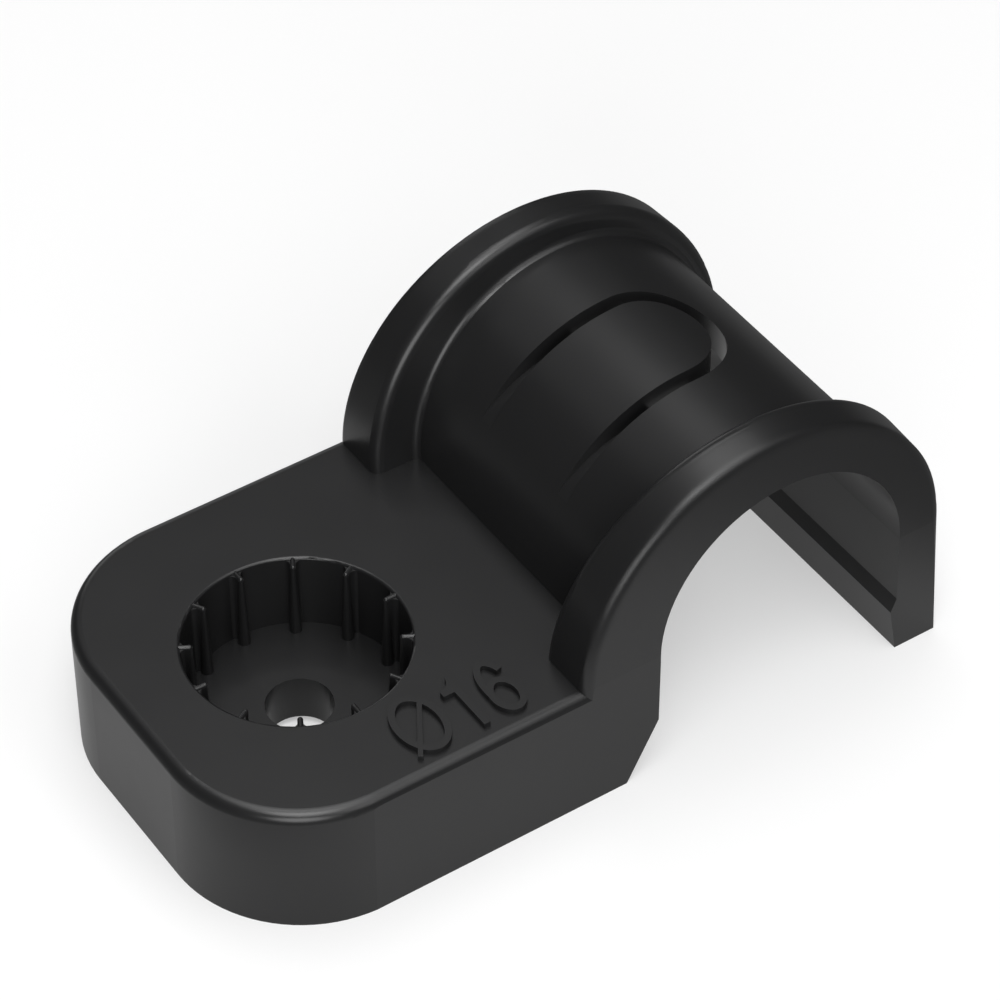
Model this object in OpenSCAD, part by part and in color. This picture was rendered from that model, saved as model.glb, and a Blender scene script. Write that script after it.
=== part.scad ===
// Conduit clip: a foot with a ribbed driver well and a nail hole, and an arched
// saddle with rounded end rims, a splayed snap leg and a spring tongue.
// Origin: nail hole axis on the mounting plane. X runs from the foot to the
// saddle, Y along the conduit, Z away from the mounting plane.

/* [Saddle] */
// Outside diameter of the conduit
conduit_d = 16; // [15:0.5:17]
// Gap between the conduit and the mounting plane
wall_gap = 0.7; // [0.4:0.1:1.2]
// Width of the clip along the conduit
clip_w = 24.2; // [22:0.2:30]
// Wall between the rims
saddle_wall = 1.8; // [1.6:0.1:2]
// Offset of the outer wall toward the foot
wall_shift = 0.2; // [0:0.05:0.3]
// Outward lean of the far leg in degrees
leg_splay = 2.5; // [1:0.25:4]

/* [Rims] */
// Thickness of each end rim at the height of its middle
rim_t = 3.8; // [3:0.1:4.4]
// Rise of the rim above the wall
rim_rise = 2.1; // [1.9:0.1:2.8]
// Offset of the rim circle toward the foot
rim_shift = 1; // [0.8:0.05:1.2]
// Drop of the rim circle below the conduit axis
rim_drop = 0.3; // [0.1:0.05:0.5]
// Draft of the outer rim faces in degrees
face_draft = 1.7; // [1:0.1:2.5]
// Draft of the inner rim faces in degrees
groove_draft = 5; // [3:0.5:6]
// Rounding of the outer rim edges
rim_edge_r = 0.65; // [0.4:0.05:0.7]
// Concave rounding between rim and wall
rim_root_r = 0.52; // [0.32:0.05:0.52]

/* [Snap edges] */
// Height of the barb tip above the mounting plane
barb_h = 3.05; // [2.2:0.05:4]
// Height of the barb above its tip
barb_rise = 0.9; // [0.6:0.1:1.6]
// Reach of the barb into the channel
barb_out = 0.4; // [0.2:0.05:0.7]
// Height of the lead-in chamfer on the foot
lead_h = 3.85; // [2:0.05:5]
// Width of the lead-in chamfer on the foot
lead_w = 2; // [1:0.1:3]

/* [Foot] */
// Length of the foot from the channel to its end
foot_len = 25.5; // [24:0.5:32]
// Thickness of the foot
foot_h = 8.4; // [7.5:0.1:8.6]
// Plan radius of the two end corners
corner_r = 8; // [4:0.5:10]
// Rounding of the upper edge
foot_edge_r = 0.65; // [0.3:0.05:1]

/* [Driver well] */
// Diameter of the well
well_d = 12.45; // [11.5:0.05:13]
// Depth of the well below the foot top
well_depth = 4.95; // [3.5:0.05:5.5]
// Distance of the well centre from the foot end
well_inset = 10.3; // [9.5:0.1:12]
// Number of centring ribs
rib_count = 12; // [6:1:14]
// Reach of each rib into the well
rib_out = 0.7; // [0.4:0.05:1]
// Nose radius of each rib at the top, and rounding of the well edge
rib_nose_r = 0.16; // [0.12:0.01:0.25]
// Nose radius of each rib at the well floor
rib_foot_r = 0.36; // [0.3:0.01:0.45]
// Concave rounding at each rib root
rib_root_r = 0.35; // [0.2:0.05:0.45]
// Diameter of the nail hole
nail_d = 3.8; // [3:0.1:4.5]
// Chamfer where the nail hole leaves the underside
exit_chamfer = 0.5; // [0.3:0.05:0.8]

/* [Spring tongue] */
// Width of the tongue
tongue_w = 6.35; // [5:0.05:8]
// Width of the slit round the tongue
slit_w = 0.85; // [0.6:0.05:1.2]
// Centre of the round tongue end, from the conduit axis toward the foot
tongue_back = 0.2; // [0:0.1:1]
// Offset of the round slit floor toward the foot
floor_shift = 2.6; // [2.2:0.1:3]
// Depth of the slit floor below the crown of the wall
floor_drop = 2.1; // [1.9:0.05:2.3]

/* [Hidden] */
$fn = 96;

// crossing allowance where a rounding runs into a face
bite = 0.01;
// the rims and the foot are drawn this much too wide and trimmed to width together
rim_trim = bite;
foot_trim = 2 * bite;
// depth by which the rim roots run into the wall
root_sink = 4 * bite;
// length by which cutters run past the faces they open
past = 1;

half_w = clip_w / 2;
saddle_r = conduit_d / 2;
axis_z = saddle_r + wall_gap;
wall_r = saddle_r + saddle_wall;
rim_r = wall_r + rim_rise;
inner_half = half_w - rim_t;
foot_x = -well_inset;
channel_x = foot_x + foot_len;
saddle_x = channel_x + saddle_r;
// inner limit of the swept sections, inside the channel
core_r = saddle_r - 3;
// the sweep ends inside the foot, below its top
sweep = 190 - leg_splay;
leg_run = axis_z + past;

well_r = well_d / 2;
well_floor = foot_h - well_depth;
nail_r = nail_d / 2;
// the ribs stand on this radius
rib_axis = well_r - rib_out + rib_nose_r;
rib_web = 2 * (rib_nose_r - bite);
// height at which the ribs stop and their rounded tops begin
rib_top = foot_h - rib_nose_r;
// the rounded tops are a little narrower than the ribs
ridge_r = rib_nose_r - 2 * bite;
ridge_end_r = ridge_r + bite / 2;

// section of a ring in radius and length, rounded at the outer edge of the face it starts from
module rim_section() {
    e = rim_edge_r;
    translate([core_r, 0])
        square([rim_r - e - core_r, 2 * rim_t]);
    translate([core_r, e])
        square([rim_r - core_r, 2 * rim_t - e]);
    translate([rim_r - e, e])
        circle(r = e);
}

// section of the concave root between a rim and the wall
module root_section() {
    r = rim_root_r;
    difference() {
        translate([wall_r - r, -rim_t / 2])
            square([2 * r, rim_t / 2 + r]);
        translate([wall_r + r - root_sink, r])
            circle(r = r);
        translate([wall_r + r - root_sink, 0])
            square(2 * r);
    }
}

// section of the wall between the rims
module wall_section() {
    lap = inner_half + rim_t / 2;
    translate([core_r, -lap])
        square([wall_r - core_r, 2 * lap]);
}

// carries a section round the saddle from the foot and straight down the far leg
module saddle_sweep(shift, drop) {
    translate([saddle_x - shift, 0, axis_z - drop])
        rotate([90, 0, 0])
            rotate([0, 0, leg_splay]) {
                rotate_extrude(angle = sweep)
                    children();
                rotate([90, 0, 0])
                    linear_extrude(height = leg_run)
                        children();
            }
}

// leans a swept solid whose start face stands at a place along the conduit
module leaning(face, lean, height) {
    translate([0, face, height])
        rotate([lean, 0, 0])
            translate([0, 0, -height])
                children();
}

// one rim between two leaning faces, and its concave root
module rim() {
    rim_z = axis_z - rim_drop;
    intersection() {
        leaning(-half_w - rim_trim, -face_draft, rim_z)
            saddle_sweep(rim_shift, rim_drop)
                mirror([0, 1])
                    rim_section();
        leaning(-inner_half, groove_draft, rim_z)
            saddle_sweep(rim_shift, rim_drop)
                rim_section();
    }
    leaning(-inner_half - bite, groove_draft, rim_z)
        saddle_sweep(wall_shift, 0)
            mirror([0, 1])
                root_section();
}

module saddle_solid() {
    saddle_sweep(wall_shift, 0)
        wall_section();
    rim();
    mirror([0, 1, 0])
        rim();
}

// cross section of the foot, upper corners rounded
module foot_section() {
    e = foot_edge_r;
    w = half_w + foot_trim;
    translate([-w, 0])
        square([2 * w, foot_h - e]);
    translate([e - w, 0])
        square([2 * (w - e), foot_h]);
    for (s = [-1, 1])
        translate([s * (w - e), foot_h - e])
            circle(r = e);
}

// section of the foot end from the inner face out, outer upper corner rounded
module end_section() {
    e = foot_edge_r;
    square([corner_r, foot_h - e]);
    square([corner_r - e, foot_h]);
    translate([corner_r - e, foot_h - e])
        circle(r = e);
}

module foot_solid() {
    bend_x = foot_x + corner_r;
    bend_y = half_w + foot_trim - corner_r;
    translate([bend_x, 0, 0])
        rotate([90, 0, 90])
            linear_extrude(height = saddle_x - bend_x)
                foot_section();
    translate([bend_x, 0, 0])
        rotate([90, 0, 180])
            linear_extrude(height = 2 * bend_y, center = true)
                end_section();
    for (s = [0, 1])
        translate([bend_x, (1 - 2 * s) * bend_y, 0])
            rotate([0, 0, 90 + 90 * s])
                rotate_extrude(angle = 90)
                    end_section();
}

// concave rounding at one side of a rib root
module rib_root() {
    c_y = rib_web / 2 + rib_root_r - bite;
    c_d = well_r - rib_root_r + bite;
    c_x = sqrt(c_d * c_d - c_y * c_y);
    out = (well_r + rib_root_r) / c_d;
    difference() {
        polygon([[c_x, 0], [c_x * out, 0], [c_x * out, c_y * out], [c_x, c_y]]);
        translate([c_x, c_y])
            circle(r = rib_root_r);
    }
}

// plan of one rib: nose, web and rounded root
module rib_plan() {
    translate([rib_axis, 0])
        circle(r = rib_nose_r);
    translate([rib_axis, -rib_web / 2])
        square([rib_out + rib_root_r, rib_web]);
    rib_root();
    mirror([0, 1])
        rib_root();
}

module well_plan() {
    difference() {
        circle(r = well_r);
        for (k = [0 : rib_count - 1])
            rotate(360 * k / rib_count)
                rib_plan();
    }
}

// ribs widen toward the well floor
module rib_flares() {
    rise = well_depth - rib_foot_r;
    for (k = [0 : rib_count - 1])
        rotate([0, 0, 360 * k / rib_count])
            translate([rib_axis, 0, well_floor - rib_nose_r])
                cylinder(r1 = rib_foot_r, r2 = rib_nose_r - bite, h = rise);
}

// each rib ends in a rounded ridge
module rib_ridges() {
    for (k = [0 : rib_count - 1])
        rotate([0, 0, 360 * k / rib_count])
            translate([rib_axis, 0, rib_top]) {
                sphere(r = ridge_end_r);
                rotate([0, 90, 0])
                    cylinder(r = ridge_r, h = rib_out + rib_nose_r);
            }
}

// section of the cutter that rounds the well edge and stops the ribs below it
module edge_section() {
    e = rib_nose_r;
    difference() {
        square([well_r + e, e + past]);
        translate([well_r + e, 0])
            circle(r = e);
    }
}

module driver_well() {
    translate([0, 0, well_floor])
        linear_extrude(height = well_depth + past)
            well_plan();
    translate([0, 0, rib_top])
        rotate_extrude()
            edge_section();
    translate([0, 0, -past])
        cylinder(r = nail_r, h = foot_h);
    translate([0, 0, -bite])
        cylinder(r1 = nail_r + exit_chamfer, r2 = nail_r, h = exit_chamfer);
}

// conduit channel: round saddle, upright near wall with a lead-in, splayed far wall with a barb
module channel_profile() {
    r = saddle_r - bite;
    far_x = r / cos(leg_splay);
    lean = tan(leg_splay);
    tip_z = barb_h - axis_z;
    root_z = tip_z + barb_rise;
    base_x = far_x + axis_z * lean;
    circle(r = saddle_r);
    polygon([
        [-r, 0],
        [-r, lead_h - axis_z],
        [-r - lead_w, -axis_z],
        [-r - lead_w, -axis_z - past],
        [base_x, -axis_z - past],
        [base_x, -axis_z],
        [far_x - tip_z * lean - barb_out, tip_z],
        [far_x - root_z * lean, root_z],
        [r * cos(leg_splay), r * sin(leg_splay)]
    ]);
}

module channel() {
    translate([saddle_x, 0, axis_z])
        rotate([90, 0, 0])
            linear_extrude(height = clip_w + 2 * past, center = true)
                channel_profile();
}

module tongue_plan(r, run) {
    circle(r = r);
    translate([-run, -r])
        square([run, 2 * r]);
}

// U-shaped slit that frees the tongue; its round floor runs out on the wall toward the foot
module tongue_slit() {
    r = tongue_w / 2;
    difference() {
        translate([saddle_x - tongue_back, 0, axis_z])
            linear_extrude(height = rim_r)
                difference() {
                    tongue_plan(r + slit_w, wall_r);
                    tongue_plan(r, wall_r + past);
                }
        translate([saddle_x - wall_shift - floor_shift, 0, axis_z])
            rotate([90, 0, 0])
                cylinder(r = wall_r - floor_drop, h = clip_w, center = true);
    }
}

// block that trims the foot and the saddle to width and to the mounting plane
module envelope() {
    translate([foot_x - past, -half_w, 0])
        cube([saddle_x - foot_x + 2 * rim_r, clip_w, axis_z + rim_r + past]);
}

module clip() {
    color([0.035, 0.035, 0.037]) {
        difference() {
            intersection() {
                union() {
                    foot_solid();
                    saddle_solid();
                }
                envelope();
            }
            channel();
            driver_well();
            tongue_slit();
        }
        rib_flares();
        rib_ridges();
    }
}

clip();
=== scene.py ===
import math

import bpy
from bpy.props import FloatProperty, FloatVectorProperty, PointerProperty
from bpy.types import Operator, Panel, PropertyGroup
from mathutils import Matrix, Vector


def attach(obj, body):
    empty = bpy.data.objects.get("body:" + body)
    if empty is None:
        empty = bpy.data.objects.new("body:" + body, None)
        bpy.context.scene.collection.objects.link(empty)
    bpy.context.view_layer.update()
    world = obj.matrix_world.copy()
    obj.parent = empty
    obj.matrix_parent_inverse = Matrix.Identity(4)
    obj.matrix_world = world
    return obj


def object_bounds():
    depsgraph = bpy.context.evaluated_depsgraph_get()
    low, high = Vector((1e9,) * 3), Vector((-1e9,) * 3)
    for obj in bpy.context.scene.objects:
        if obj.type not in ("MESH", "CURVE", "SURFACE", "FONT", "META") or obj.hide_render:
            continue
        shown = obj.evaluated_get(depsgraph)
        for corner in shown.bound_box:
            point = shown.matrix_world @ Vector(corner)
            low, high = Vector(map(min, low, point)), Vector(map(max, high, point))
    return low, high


bl_info = {
    "name": "Conduit Clip",
    "version": (1, 0, 0),
    "blender": (4, 5, 0),
    "location": "View3D > Sidebar > Conduit Clip",
    "description": "Finish, raised size mark and studio for a moulded conduit clip",
    "category": "Object",
}

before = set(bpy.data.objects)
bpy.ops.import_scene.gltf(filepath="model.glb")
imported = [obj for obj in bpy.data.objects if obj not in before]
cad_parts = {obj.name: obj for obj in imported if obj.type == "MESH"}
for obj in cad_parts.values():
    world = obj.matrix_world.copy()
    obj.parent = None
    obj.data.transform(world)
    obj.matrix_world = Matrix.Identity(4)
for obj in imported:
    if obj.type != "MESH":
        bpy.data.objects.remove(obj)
CAD_LOW, CAD_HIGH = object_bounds()
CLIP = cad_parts["clip"]

MM = 0.001
# Size of the slow wander of the gloss, and the octaves of gloss and grain
GLOSS_SIZE = 4 * MM
GLOSS_DETAIL = 3
GRAIN_DETAIL = 2
# Axis of the saddle, and the distance from it beyond which only rims and their roots rise over the foot
SADDLE_AXIS = Vector((23.2, 0, 8.7)) * MM
RIM_REACH = 10 * MM
# Mask that leaves out Y, the way along the saddle
ACROSS_SADDLE = (1, 0, 1)
# Width of the soft zone along a rim's outer edge, and of its start above half the height
RIM_ZONE = 2 * MM
# Rays that find the soft edges of the rims
EDGE_SAMPLES = 8
# Steps in the mark's rings, in the flag of its one and in its rounded edges
RING_STEPS = 72
CURVE_STEPS = 6
EDGE_STEPS = 2
# Edges of the mark sharper than this are rounded
CORNER_ANGLE = math.radians(35)
# Edges of the mark flatter than this are shaded as one curve, so that its top stays flat
CURVE_ANGLE = math.radians(15)
# Shares of the digits' height: flag of the one, overshoot of the six and end of its hook
FLAG_FOOT = 0.71
FLAG_THICKNESS = 0.09
FLAG_HOLLOW = 0.04
SIX_OVERSHOOT = 0.02
HOOK_END = 0.74
# Up to this place along X nothing stands higher than the top of the foot
FOOT_REACH = 9 * MM
# Steps round the floor and round the gloss card, which lies a little above it
FLOOR_STEPS = 96
CARD_RISE = 0.05 * MM
# Softboxes: turn from the camera, rise and spread in degrees, and brightness
SOFTBOXES = {
    "top_softbox": (0, 90, 22, 3),
    "key_softbox": (0, 65, 16, 5.8),
    "front_softbox": (0, 18, 18, 4.9),
    "corner_softbox": (45, 40, 14, 2.3),
    "right_softbox": (75, 56, 13, 2.05),
    "rear_softbox": (185, 67, 15, 1.8),
    "low_rear_softbox": (180, 40, 14, 0.13),
    "glow_softbox": (200, 18, 12, 1.3),
    "left_rear_softbox": (230, 46, 16, 0.32),
}


class PlasticSettings(PropertyGroup):
    """Finish of the moulded plastic."""

    colour: FloatVectorProperty(
        name="Colour",
        description="Body colour of the black plastic",
        default=(0.01, 0.01, 0.0103),
        min=0,
        max=1,
        subtype="COLOR",
    )
    roughness: FloatProperty(
        name="Roughness",
        description="Mean roughness of the moulded surface",
        default=0.3,
        min=0,
        max=1,
        subtype="FACTOR",
    )
    roughness_spread: FloatProperty(
        name="Roughness Spread",
        description="How far the roughness wanders over the surface",
        default=0.03,
        min=0,
        max=0.3,
        subtype="FACTOR",
    )
    refraction: FloatProperty(
        name="Refractive Index",
        description="Refractive index of the plastic, which sets its gloss",
        default=1.45,
        min=1,
        max=2,
    )
    grain_size: FloatProperty(
        name="Grain Size",
        description="Size of the fine grain that the mould leaves",
        default=0.12 * MM,
        min=0.01 * MM,
        unit="LENGTH",
    )
    grain_depth: FloatProperty(
        name="Grain Depth",
        description="Depth of the fine grain",
        default=0.0002 * MM,
        min=0,
        unit="LENGTH",
    )
    edge_softness: FloatProperty(
        name="Edge Softness",
        description="Radius over which light runs round the outer edges of the rims",
        default=0.7 * MM,
        min=0,
        unit="LENGTH",
    )


class MarkSettings(PropertyGroup):
    """Raised size mark on the foot: a diameter sign and two digits."""

    baseline_inset: FloatProperty(
        name="Baseline Inset",
        description="Distance from the front of the foot to the foot of the digits",
        default=1.13 * MM,
        unit="LENGTH",
    )
    height: FloatProperty(
        name="Digit Height",
        description="Height of the digits",
        default=3.97 * MM,
        unit="LENGTH",
    )
    relief: FloatProperty(
        name="Relief",
        description="Height of the mark above the foot",
        default=0.32 * MM,
        unit="LENGTH",
    )
    sunk: FloatProperty(
        name="Sunk Depth",
        description="Depth to which the mark is rooted in the foot",
        default=0.1 * MM,
        unit="LENGTH",
    )
    stroke: FloatProperty(
        name="Stroke",
        description="Width of the strokes",
        default=0.39 * MM,
        unit="LENGTH",
    )
    edge: FloatProperty(
        name="Edge Rounding",
        description="Rounding of the upper edges of the mark",
        default=0.015 * MM,
        unit="LENGTH",
    )
    sign_place: FloatProperty(
        name="Sign Place",
        description="Middle of the diameter sign, from the nail hole axis",
        default=1.97 * MM,
        unit="LENGTH",
    )
    sign_width: FloatProperty(
        name="Sign Width",
        description="Width of the ring of the diameter sign",
        default=2.92 * MM,
        unit="LENGTH",
    )
    sign_height: FloatProperty(
        name="Sign Height",
        description="Height of the ring of the diameter sign",
        default=4.25 * MM,
        unit="LENGTH",
    )
    slash_low: FloatProperty(
        name="Slash Low Reach",
        description="Reach of the slash from the middle of the ring to its low end",
        default=2.38 * MM,
        unit="LENGTH",
    )
    slash_high: FloatProperty(
        name="Slash High Reach",
        description="Reach of the slash from the middle of the ring to its high end",
        default=1.85 * MM,
        unit="LENGTH",
    )
    slash_width: FloatProperty(
        name="Slash Width",
        description="Width of the slash",
        default=0.28 * MM,
        unit="LENGTH",
    )
    slash_lean: FloatProperty(
        name="Slash Lean",
        description="Rise of the slash from the baseline",
        default=math.radians(58),
        subtype="ANGLE",
    )
    one_place: FloatProperty(
        name="One Place",
        description="Left side of the stem of the one, from the nail hole axis",
        default=4.7 * MM,
        unit="LENGTH",
    )
    flag_run: FloatProperty(
        name="Flag Run",
        description="Reach of the flag of the one to the left of its stem",
        default=0.67 * MM,
        unit="LENGTH",
    )
    six_place: FloatProperty(
        name="Six Place",
        description="Middle of the six, from the nail hole axis",
        default=6.93 * MM,
        unit="LENGTH",
    )
    six_width: FloatProperty(
        name="Six Width",
        description="Width of the six",
        default=1.93 * MM,
        unit="LENGTH",
    )
    bowl_height: FloatProperty(
        name="Bowl Height",
        description="Height of the closed bowl of the six",
        default=2.6 * MM,
        unit="LENGTH",
    )


class StageSettings(PropertyGroup):
    """Floor, light and camera."""

    floor_colour: FloatVectorProperty(
        name="Floor Colour",
        description="Colour of the floor",
        default=(0.79, 0.79, 0.79),
        min=0,
        max=1,
        subtype="COLOR",
    )
    floor_size: FloatProperty(
        name="Floor Size",
        description="Radius of the floor",
        default=3,
        unit="LENGTH",
    )
    floor_lift: FloatProperty(
        name="Floor Lift",
        description="Share of plain white in the floor, which lightens the shadow",
        default=0.42,
        min=0,
        max=1,
        subtype="FACTOR",
    )
    card_colour: FloatVectorProperty(
        name="Card Colour",
        description="Colour of the card that the gloss shows round the clip",
        default=(0.13, 0.13, 0.13),
        min=0,
        max=1,
        subtype="COLOR",
    )
    card_veil: FloatProperty(
        name="Card Veil",
        description="Share of the card that stays near the clip, where the floor shows through",
        default=0.43,
        min=0,
        max=1,
        subtype="FACTOR",
    )
    card_opening: FloatProperty(
        name="Card Opening",
        description="Distance from the middle of the clip at which the card is half way to dense",
        default=31 * MM,
        unit="LENGTH",
    )
    card_fade: FloatProperty(
        name="Card Fade",
        description="Width of the zone in which the card grows dense",
        default=10 * MM,
        unit="LENGTH",
    )
    room_level: FloatProperty(
        name="Room Level",
        description="Brightness of the room round the softboxes",
        default=0.045,
        min=0,
    )
    softbox_level: FloatProperty(
        name="Softbox Level",
        description="Brightness of all softboxes together",
        default=1,
        min=0,
    )
    softbox_distance: FloatProperty(
        name="Softbox Distance",
        description="Distance of the softboxes from the clip",
        default=0.6,
        unit="LENGTH",
    )
    camera_aim: FloatVectorProperty(
        name="Camera Aim",
        description="Point in the middle of the picture",
        default=(18.016 * MM, 7.308 * MM, 3.312 * MM),
        subtype="TRANSLATION",
    )
    camera_distance: FloatProperty(
        name="Camera Distance",
        description="Distance from the aim to the camera",
        default=232.737 * MM,
        unit="LENGTH",
    )
    camera_azimuth: FloatProperty(
        name="Camera Azimuth",
        description="Turn of the camera round the clip from the view along Y",
        default=math.radians(-34.025),
        subtype="ANGLE",
    )
    camera_elevation: FloatProperty(
        name="Camera Elevation",
        description="Rise of the camera above the horizon",
        default=math.radians(43.619),
        subtype="ANGLE",
    )
    lens: FloatProperty(
        name="Lens",
        description="Focal length in millimetres on a 36 mm sensor",
        default=147.07,
        subtype="DISTANCE_CAMERA",
    )


def direction(turn, rise):
    """Unit vector from the clip at a turn round it and a rise above the horizon."""
    level = math.cos(rise)
    return Vector((math.sin(turn) * level, -math.cos(turn) * level, math.sin(rise)))


def start_fresh():
    """Leaves object mode on with nothing selected."""
    if bpy.context.object and bpy.context.object.mode != "OBJECT":
        bpy.ops.object.mode_set(mode="OBJECT")
    bpy.ops.object.select_all(action="DESELECT")


def pick(piece):
    """Leaves a piece as the only selected object and the active one."""
    start_fresh()
    piece.select_set(True)
    bpy.context.view_layer.objects.active = piece


def apply_place():
    """Moves the active object's place into its mesh."""
    bpy.ops.object.transform_apply(location=True, rotation=True, scale=True)


def add_disc(name, radius, level):
    """A flat round sheet about the nail hole axis."""
    start_fresh()
    bpy.ops.mesh.primitive_circle_add(
        vertices=FLOOR_STEPS, radius=radius, fill_type="NGON", location=(0, 0, level)
    )
    disc = bpy.context.object
    disc.name = name
    apply_place()
    return disc


def new_material(name):
    """Adds a material with an empty node tree."""
    material = bpy.data.materials.new(name)
    material.use_nodes = True
    material.node_tree.nodes.clear()
    return material


def add_node(tree, kind, place, **values):
    """Adds a shader node at a place in the tree and sets its properties."""
    node = tree.nodes.new(kind)
    node.location = place
    for key, value in values.items():
        setattr(node, key, value)
    return node


def wandering_gloss(tree, place, settings):
    """Roughness that wanders slowly over the surface, as mould polish leaves it."""
    link = tree.links.new
    wander = add_node(tree, "ShaderNodeTexNoise", (-500, 150))
    wander.inputs["Scale"].default_value = 1 / GLOSS_SIZE
    wander.inputs["Detail"].default_value = GLOSS_DETAIL
    gloss = add_node(tree, "ShaderNodeMapRange", (-200, 150))
    gloss.inputs["To Min"].default_value = settings.roughness - settings.roughness_spread
    gloss.inputs["To Max"].default_value = settings.roughness + settings.roughness_spread
    link(place, wander.inputs["Vector"])
    link(wander.outputs["Fac"], gloss.inputs["Value"])
    return gloss.outputs["Result"]


def soft_rim_edges(tree, place, settings):
    """Normal that lets light run softly round the outer edges of both rims, above the foot."""
    link = tree.links.new
    axes = add_node(tree, "ShaderNodeSeparateXYZ", (-1000, -450))
    side = add_node(tree, "ShaderNodeMath", (-800, -400), operation="ABSOLUTE")
    outer = add_node(tree, "ShaderNodeMath", (-600, -400), operation="GREATER_THAN")
    outer.inputs[1].default_value = CAD_HIGH.y - RIM_ZONE
    section = add_node(tree, "ShaderNodeVectorMath", (-800, -800), operation="MULTIPLY")
    section.inputs[1].default_value = ACROSS_SADDLE
    reach = add_node(tree, "ShaderNodeVectorMath", (-600, -800), operation="DISTANCE")
    reach.inputs[1].default_value = SADDLE_AXIS
    rim = add_node(tree, "ShaderNodeMath", (-400, -800), operation="GREATER_THAN")
    rim.inputs[1].default_value = RIM_REACH
    edge = add_node(tree, "ShaderNodeMath", (-400, -600), operation="MULTIPLY")
    crown = add_node(tree, "ShaderNodeMapRange", (-600, -600))
    crown.inputs["From Min"].default_value = CAD_HIGH.z / 2
    crown.inputs["From Max"].default_value = CAD_HIGH.z / 2 + RIM_ZONE
    crown.inputs["To Max"].default_value = settings.edge_softness
    radius = add_node(tree, "ShaderNodeMath", (-400, -450), operation="MULTIPLY")
    soft = add_node(tree, "ShaderNodeBevel", (-200, -400), samples=EDGE_SAMPLES)
    link(place, axes.inputs["Vector"])
    link(axes.outputs["Y"], side.inputs[0])
    link(side.outputs[0], outer.inputs[0])
    link(axes.outputs["Z"], crown.inputs["Value"])
    link(place, section.inputs[0])
    link(section.outputs["Vector"], reach.inputs[0])
    link(reach.outputs["Value"], rim.inputs[0])
    link(outer.outputs[0], edge.inputs[0])
    link(rim.outputs[0], edge.inputs[1])
    link(edge.outputs[0], radius.inputs[0])
    link(crown.outputs["Result"], radius.inputs[1])
    link(radius.outputs[0], soft.inputs["Radius"])
    return soft.outputs["Normal"]


def mould_grain(tree, place, normal, settings):
    """Fine grain of the mould, as a bump on the normal that it is given."""
    link = tree.links.new
    grain = add_node(tree, "ShaderNodeTexNoise", (-500, -150))
    grain.inputs["Scale"].default_value = 1 / settings.grain_size
    grain.inputs["Detail"].default_value = GRAIN_DETAIL
    bump = add_node(tree, "ShaderNodeBump", (100, -200))
    bump.inputs["Strength"].default_value = 1
    bump.inputs["Distance"].default_value = settings.grain_depth
    link(place, grain.inputs["Vector"])
    link(grain.outputs["Fac"], bump.inputs["Height"])
    link(normal, bump.inputs["Normal"])
    return bump.outputs["Normal"]


def moulded_plastic(settings):
    """Satin black plastic with a fine mould grain."""
    material = new_material("moulded_black_plastic")
    tree = material.node_tree
    link = tree.links.new
    output = add_node(tree, "ShaderNodeOutputMaterial", (700, 0))
    shader = add_node(tree, "ShaderNodeBsdfPrincipled", (400, 0))
    shader.inputs["Base Color"].default_value = (*settings.colour, 1)
    shader.inputs["IOR"].default_value = settings.refraction
    coords = add_node(tree, "ShaderNodeTexCoord", (-1200, 0))
    place = coords.outputs["Object"]
    edges = soft_rim_edges(tree, place, settings)
    link(wandering_gloss(tree, place, settings), shader.inputs["Roughness"])
    link(mould_grain(tree, place, edges, settings), shader.inputs["Normal"])
    link(shader.outputs["BSDF"], output.inputs["Surface"])
    return material


def pale_floor(stage):
    """White floor that keeps a light shadow: part of it shows plain white in the picture."""
    material = new_material("pale_floor")
    tree = material.node_tree
    link = tree.links.new
    output = add_node(tree, "ShaderNodeOutputMaterial", (600, 0))
    lit = add_node(tree, "ShaderNodeBsdfDiffuse", (0, 150))
    lit.inputs["Color"].default_value = (*stage.floor_colour, 1)
    plain = add_node(tree, "ShaderNodeEmission", (0, 0))
    blend = add_node(tree, "ShaderNodeMixShader", (400, 0))
    rays = add_node(tree, "ShaderNodeLightPath", (-600, -200))
    seen = add_node(tree, "ShaderNodeMath", (-400, -200), operation="MAXIMUM")
    shown = add_node(tree, "ShaderNodeMath", (-200, -200), operation="MAXIMUM")
    share = add_node(tree, "ShaderNodeMath", (0, -200), operation="MULTIPLY")
    share.inputs[1].default_value = stage.floor_lift
    link(rays.outputs["Is Camera Ray"], seen.inputs[0])
    link(rays.outputs["Is Glossy Ray"], seen.inputs[1])
    link(seen.outputs[0], shown.inputs[0])
    link(rays.outputs["Is Transmission Ray"], shown.inputs[1])
    link(shown.outputs[0], share.inputs[0])
    link(share.outputs[0], blend.inputs["Fac"])
    link(lit.outputs["BSDF"], blend.inputs[1])
    link(plain.outputs["Emission"], blend.inputs[2])
    link(blend.outputs["Shader"], output.inputs["Surface"])
    return material


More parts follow.
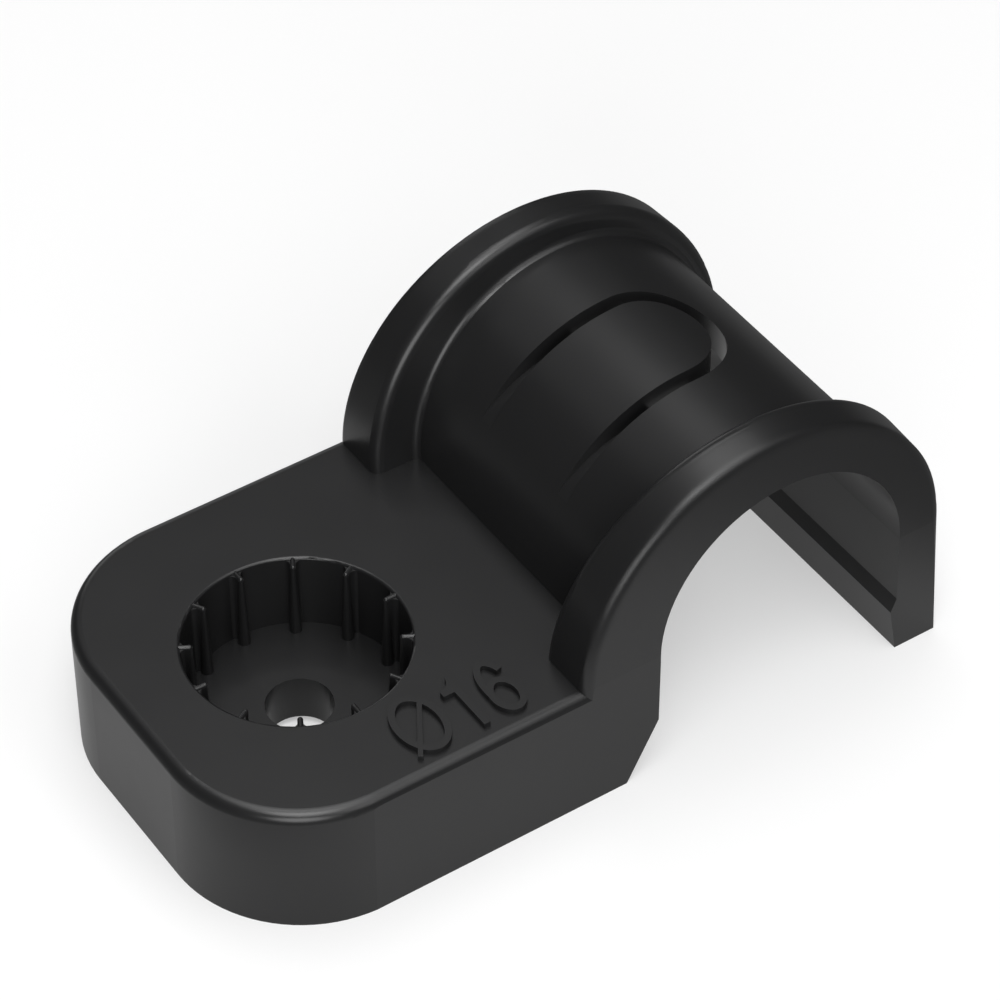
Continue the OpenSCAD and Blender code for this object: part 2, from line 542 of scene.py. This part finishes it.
def dull_card(stage, middle):
    """Matt grey card that thins out toward its middle."""
    material = new_material("dull_card")
    tree = material.node_tree
    link = tree.links.new
    output = add_node(tree, "ShaderNodeOutputMaterial", (600, 0))
    blend = add_node(tree, "ShaderNodeMixShader", (400, 0))
    clear = add_node(tree, "ShaderNodeBsdfTransparent", (100, 0))
    matt = add_node(tree, "ShaderNodeBsdfDiffuse", (100, -150))
    matt.inputs["Color"].default_value = (*stage.card_colour, 1)
    coords = add_node(tree, "ShaderNodeTexCoord", (-500, 200))
    reach = add_node(tree, "ShaderNodeVectorMath", (-300, 200), operation="DISTANCE")
    reach.inputs[1].default_value = middle
    dense = add_node(tree, "ShaderNodeMapRange", (-100, 200), interpolation_type="SMOOTHSTEP")
    dense.inputs["From Min"].default_value = stage.card_opening - stage.card_fade / 2
    dense.inputs["From Max"].default_value = stage.card_opening + stage.card_fade / 2
    dense.inputs["To Min"].default_value = stage.card_veil
    link(coords.outputs["Object"], reach.inputs[0])
    link(reach.outputs["Value"], dense.inputs["Value"])
    link(dense.outputs["Result"], blend.inputs["Fac"])
    link(clear.outputs["BSDF"], blend.inputs[1])
    link(matt.outputs["BSDF"], blend.inputs[2])
    link(blend.outputs["Shader"], output.inputs["Surface"])
    return material


def ring_face(name, centre, width, height, stroke):
    """A flat ring of even stroke, drawn as an ellipse with its inside cut out."""
    start_fresh()
    bpy.ops.mesh.primitive_circle_add(
        vertices=RING_STEPS, radius=0.5, fill_type="NGON", location=centre
    )
    ring = bpy.context.object
    ring.name = name
    ring.scale = (width, height, 1)
    apply_place()
    bpy.ops.object.mode_set(mode="EDIT")
    bpy.ops.mesh.select_all(action="SELECT")
    bpy.ops.mesh.inset(thickness=stroke)
    bpy.ops.mesh.delete(type="ONLY_FACE")
    bpy.ops.object.mode_set(mode="OBJECT")
    return ring


def outline_face(name, points, level):
    """A flat face drawn corner by corner from a closed outline."""
    start_fresh()
    bpy.ops.mesh.primitive_plane_add(size=1, location=(0, 0, 0))
    face = bpy.context.object
    face.name = name
    bpy.ops.object.mode_set(mode="EDIT")
    bpy.ops.mesh.select_all(action="SELECT")
    bpy.ops.mesh.merge(type="CENTER")
    corners = [Vector((x, y, level)) for x, y in points]
    bpy.ops.transform.translate(value=corners[0])
    for before, after in zip(corners, corners[1:]):
        bpy.ops.mesh.extrude_region_move(TRANSFORM_OT_translate={"value": after - before})
    bpy.ops.mesh.select_all(action="SELECT")
    bpy.ops.mesh.edge_face_add()
    bpy.ops.object.mode_set(mode="OBJECT")
    return face


def raise_face(piece, height):
    """Raises a flat face to a solid of the given height, faces outward."""
    pick(piece)
    bpy.ops.object.mode_set(mode="EDIT")
    bpy.ops.mesh.select_all(action="SELECT")
    bpy.ops.mesh.extrude_region_move(TRANSFORM_OT_translate={"value": (0, 0, height)})
    bpy.ops.mesh.select_all(action="SELECT")
    bpy.ops.mesh.normals_make_consistent(inside=False)
    bpy.ops.object.mode_set(mode="OBJECT")


def trim_face(piece, point, normal, test):
    """Cuts away what lies behind a line, on the faces whose middle passes the test."""
    pick(piece)
    for face in piece.data.polygons:
        face.select = test(face.center)
    bpy.ops.object.mode_set(mode="EDIT")
    bpy.ops.mesh.select_mode(type="FACE")
    bpy.ops.mesh.bisect(plane_co=point, plane_no=normal, clear_inner=True)
    bpy.ops.object.mode_set(mode="OBJECT")


def unite(piece, other):
    """Joins another solid to a piece as one closed solid."""
    pick(piece)
    join = piece.modifiers.new("join", "BOOLEAN")
    join.operation = "UNION"
    join.solver = "EXACT"
    join.object = other
    bpy.ops.object.modifier_apply(modifier=join.name)
    bpy.data.objects.remove(other)


def diameter_sign(mark, baseline, level, height):
    """The ring and its slash."""
    middle = baseline + mark.height / 2
    ring = ring_face(
        "size_mark",
        (mark.sign_place, middle, level),
        mark.sign_width,
        mark.sign_height,
        mark.stroke,
    )
    raise_face(ring, height)
    along = Vector((math.cos(mark.slash_lean), math.sin(mark.slash_lean)))
    across = Vector((-along.y, along.x))
    low, high = along * -mark.slash_low, along * mark.slash_high
    side = across * mark.slash_width / 2
    corners = [low - side, high - side, high + side, low + side]
    points = [(mark.sign_place + c.x, middle + c.y) for c in corners]
    slash = outline_face("slash", points, level)
    raise_face(slash, height)
    unite(ring, slash)
    return ring


def digit_one(mark, baseline, level, height):
    """A stem with a flag that is flat below and hollow above."""
    left = mark.one_place
    right = left + mark.stroke
    top = baseline + mark.height
    flag_low = baseline + FLAG_FOOT * mark.height
    flag_high = flag_low + FLAG_THICKNESS * mark.height
    flag_end = left - mark.flag_run
    peak = Vector((left + mark.stroke / 3, top))
    hollow = Vector((left, flag_high + FLAG_HOLLOW * mark.height))
    tip = Vector((flag_end, flag_high))
    points = [(left, baseline), (right, baseline), (right, top)]
    for step in range(CURVE_STEPS + 1):
        t = step / CURVE_STEPS
        spot = peak * (1 - t) ** 2 + hollow * 2 * t * (1 - t) + tip * t**2
        points.append((spot.x, spot.y))
    points += [(flag_end, flag_low), (left, flag_low)]
    digit = outline_face("digit_one", points, level)
    raise_face(digit, height)
    return digit


def digit_six(mark, baseline, level, height):
    """A round bowl under a tall stroke that ends in an open hook."""
    low = baseline - SIX_OVERSHOOT * mark.height
    high = baseline + mark.height
    bowl_middle = low + mark.bowl_height / 2
    hook_end = baseline + HOOK_END * mark.height
    bowl = ring_face(
        "digit_six",
        (mark.six_place, bowl_middle, level),
        mark.six_width,
        mark.bowl_height,
        mark.stroke,
    )
    raise_face(bowl, height)
    sweep = ring_face(
        "sweep",
        (mark.six_place, (low + high) / 2, level),
        mark.six_width,
        high - low,
        mark.stroke,
    )
    trim_face(sweep, (0, bowl_middle, 0), (0, 1, 0), lambda middle: True)
    trim_face(sweep, (0, hook_end, 0), (0, 1, 0), lambda middle: middle.x > mark.six_place)
    raise_face(sweep, height)
    unite(bowl, sweep)
    return bowl


class CLIP_OT_plastic(Operator):
    """Gives the moulded clip its satin black finish"""

    bl_idname = "conduit_clip.plastic"
    bl_label = "Finish Plastic"

    def execute(self, context):
        material = moulded_plastic(context.scene.clip_plastic)
        for slot in CLIP.material_slots:
            slot.material = material
        return {"FINISHED"}


class CLIP_OT_mark(Operator):
    """Raises the size mark on the foot"""

    bl_idname = "conduit_clip.mark"
    bl_label = "Raise Size Mark"

    def execute(self, context):
        mark = context.scene.clip_mark
        foot_top = max(v.co.z for v in CLIP.data.vertices if v.co.x < FOOT_REACH)
        baseline = CAD_LOW.y + mark.baseline_inset
        level = foot_top - mark.sunk
        height = mark.relief + mark.sunk
        makers = (diameter_sign, digit_one, digit_six)
        signs = [make(mark, baseline, level, height) for make in makers]
        start_fresh()
        for sign in signs:
            sign.select_set(True)
        piece = signs[0]
        context.view_layer.objects.active = piece
        bpy.ops.object.join()
        rounding = piece.modifiers.new("rounding", "BEVEL")
        rounding.width = mark.edge
        rounding.segments = EDGE_STEPS
        rounding.limit_method = "ANGLE"
        rounding.angle_limit = CORNER_ANGLE
        bpy.ops.object.modifier_apply(modifier=rounding.name)
        bpy.ops.object.shade_smooth_by_angle(angle=CURVE_ANGLE)
        piece.data.materials.clear()
        piece.data.materials.append(CLIP.material_slots[0].material)
        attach(piece, "root")
        return {"FINISHED"}


class CLIP_OT_stage(Operator):
    """Sets up the floor, the light and the camera"""

    bl_idname = "conduit_clip.stage"
    bl_label = "Set Up Stage"

    def execute(self, context):
        stage = context.scene.clip_stage
        self.lay_floor(stage)
        self.lay_card(stage)
        self.light_room(context.scene, stage)
        for name, (turn, rise, spread, level) in SOFTBOXES.items():
            self.hang_softbox(
                name,
                stage,
                stage.camera_azimuth + math.radians(turn),
                math.radians(rise),
                math.radians(spread),
                level * stage.softbox_level,
            )
        self.place_camera(context.scene, stage)
        context.scene.view_settings.view_transform = "Standard"
        return {"FINISHED"}

    def lay_floor(self, stage):
        """The pale floor that the clip stands on."""
        floor = add_disc("floor", stage.floor_size, CAD_LOW.z)
        floor.data.materials.append(pale_floor(stage))

    def lay_card(self, stage):
        """A dull card round the clip, seen only in its gloss."""
        middle = (CAD_LOW + CAD_HIGH) / 2
        middle.z = CAD_LOW.z + CARD_RISE
        card = add_disc("gloss_card", stage.floor_size, middle.z)
        card.data.materials.append(dull_card(stage, middle))
        for ray in ("camera", "diffuse", "transmission", "volume_scatter", "shadow"):
            setattr(card, "visible_" + ray, False)

    def light_room(self, scene, stage):
        """A faint even light from all round."""
        world = bpy.data.worlds.new("studio")
        scene.world = world
        world.use_nodes = True
        tree = world.node_tree
        tree.nodes.clear()
        room = add_node(tree, "ShaderNodeBackground", (0, 0))
        room.inputs["Strength"].default_value = stage.room_level
        room.inputs["Color"].default_value = (1, 1, 1, 1)
        output = add_node(tree, "ShaderNodeOutputWorld", (200, 0))
        tree.links.new(room.outputs["Background"], output.inputs["Surface"])

    def hang_softbox(self, name, stage, turn, rise, spread, level):
        """A round softbox that faces the clip; its spread is the half angle that it fills."""
        start_fresh()
        bpy.ops.object.light_add(
            type="AREA",
            location=direction(turn, rise) * stage.softbox_distance,
            rotation=(math.pi / 2 - rise, 0, turn),
        )
        softbox = bpy.context.object
        softbox.name = name
        radius = stage.softbox_distance * math.tan(spread)
        softbox.data.shape = "DISK"
        softbox.data.size = 2 * radius
        # a flat lamp of area A shines with a brightness of power / (pi A)
        softbox.data.energy = level * math.pi * math.pi * radius**2

    def place_camera(self, scene, stage):
        """The camera, turned to its aim."""
        start_fresh()
        turn, rise = stage.camera_azimuth, stage.camera_elevation
        bpy.ops.object.camera_add(
            location=Vector(stage.camera_aim) + direction(turn, rise) * stage.camera_distance,
            rotation=(math.pi / 2 - rise, 0, turn),
        )
        camera = bpy.context.object
        camera.name = "camera"
        camera.data.lens = stage.lens
        camera.data.clip_start = 1 * MM
        scene.camera = camera


class CLIP_PT_panel(Panel):
    """Sizes and colours of the clip, and the steps that build it"""

    bl_idname = "CLIP_PT_panel"
    bl_label = "Conduit Clip"
    bl_space_type = "VIEW_3D"
    bl_region_type = "UI"
    bl_category = "Conduit Clip"

    def draw(self, context):
        for operator, settings in STEPS:
            group = getattr(context.scene, settings)
            box = self.layout.box()
            for key in group.__annotations__:
                box.prop(group, key)
            box.operator(operator.bl_idname)


STEPS = (
    (CLIP_OT_plastic, "clip_plastic"),
    (CLIP_OT_mark, "clip_mark"),
    (CLIP_OT_stage, "clip_stage"),
)
SETTINGS = {
    "clip_plastic": PlasticSettings,
    "clip_mark": MarkSettings,
    "clip_stage": StageSettings,
}
CLASSES = (*SETTINGS.values(), *(operator for operator, settings in STEPS), CLIP_PT_panel)


def register():
    for cls in CLASSES:
        bpy.utils.register_class(cls)
    for key, settings in SETTINGS.items():
        setattr(bpy.types.Scene, key, PointerProperty(type=settings))


def unregister():
    for key in SETTINGS:
        delattr(bpy.types.Scene, key)
    for cls in reversed(CLASSES):
        bpy.utils.unregister_class(cls)


def main():
    register()
    bpy.ops.conduit_clip.plastic()
    bpy.ops.conduit_clip.mark()
    bpy.ops.conduit_clip.stage()


if __name__ == "__main__":
    main()
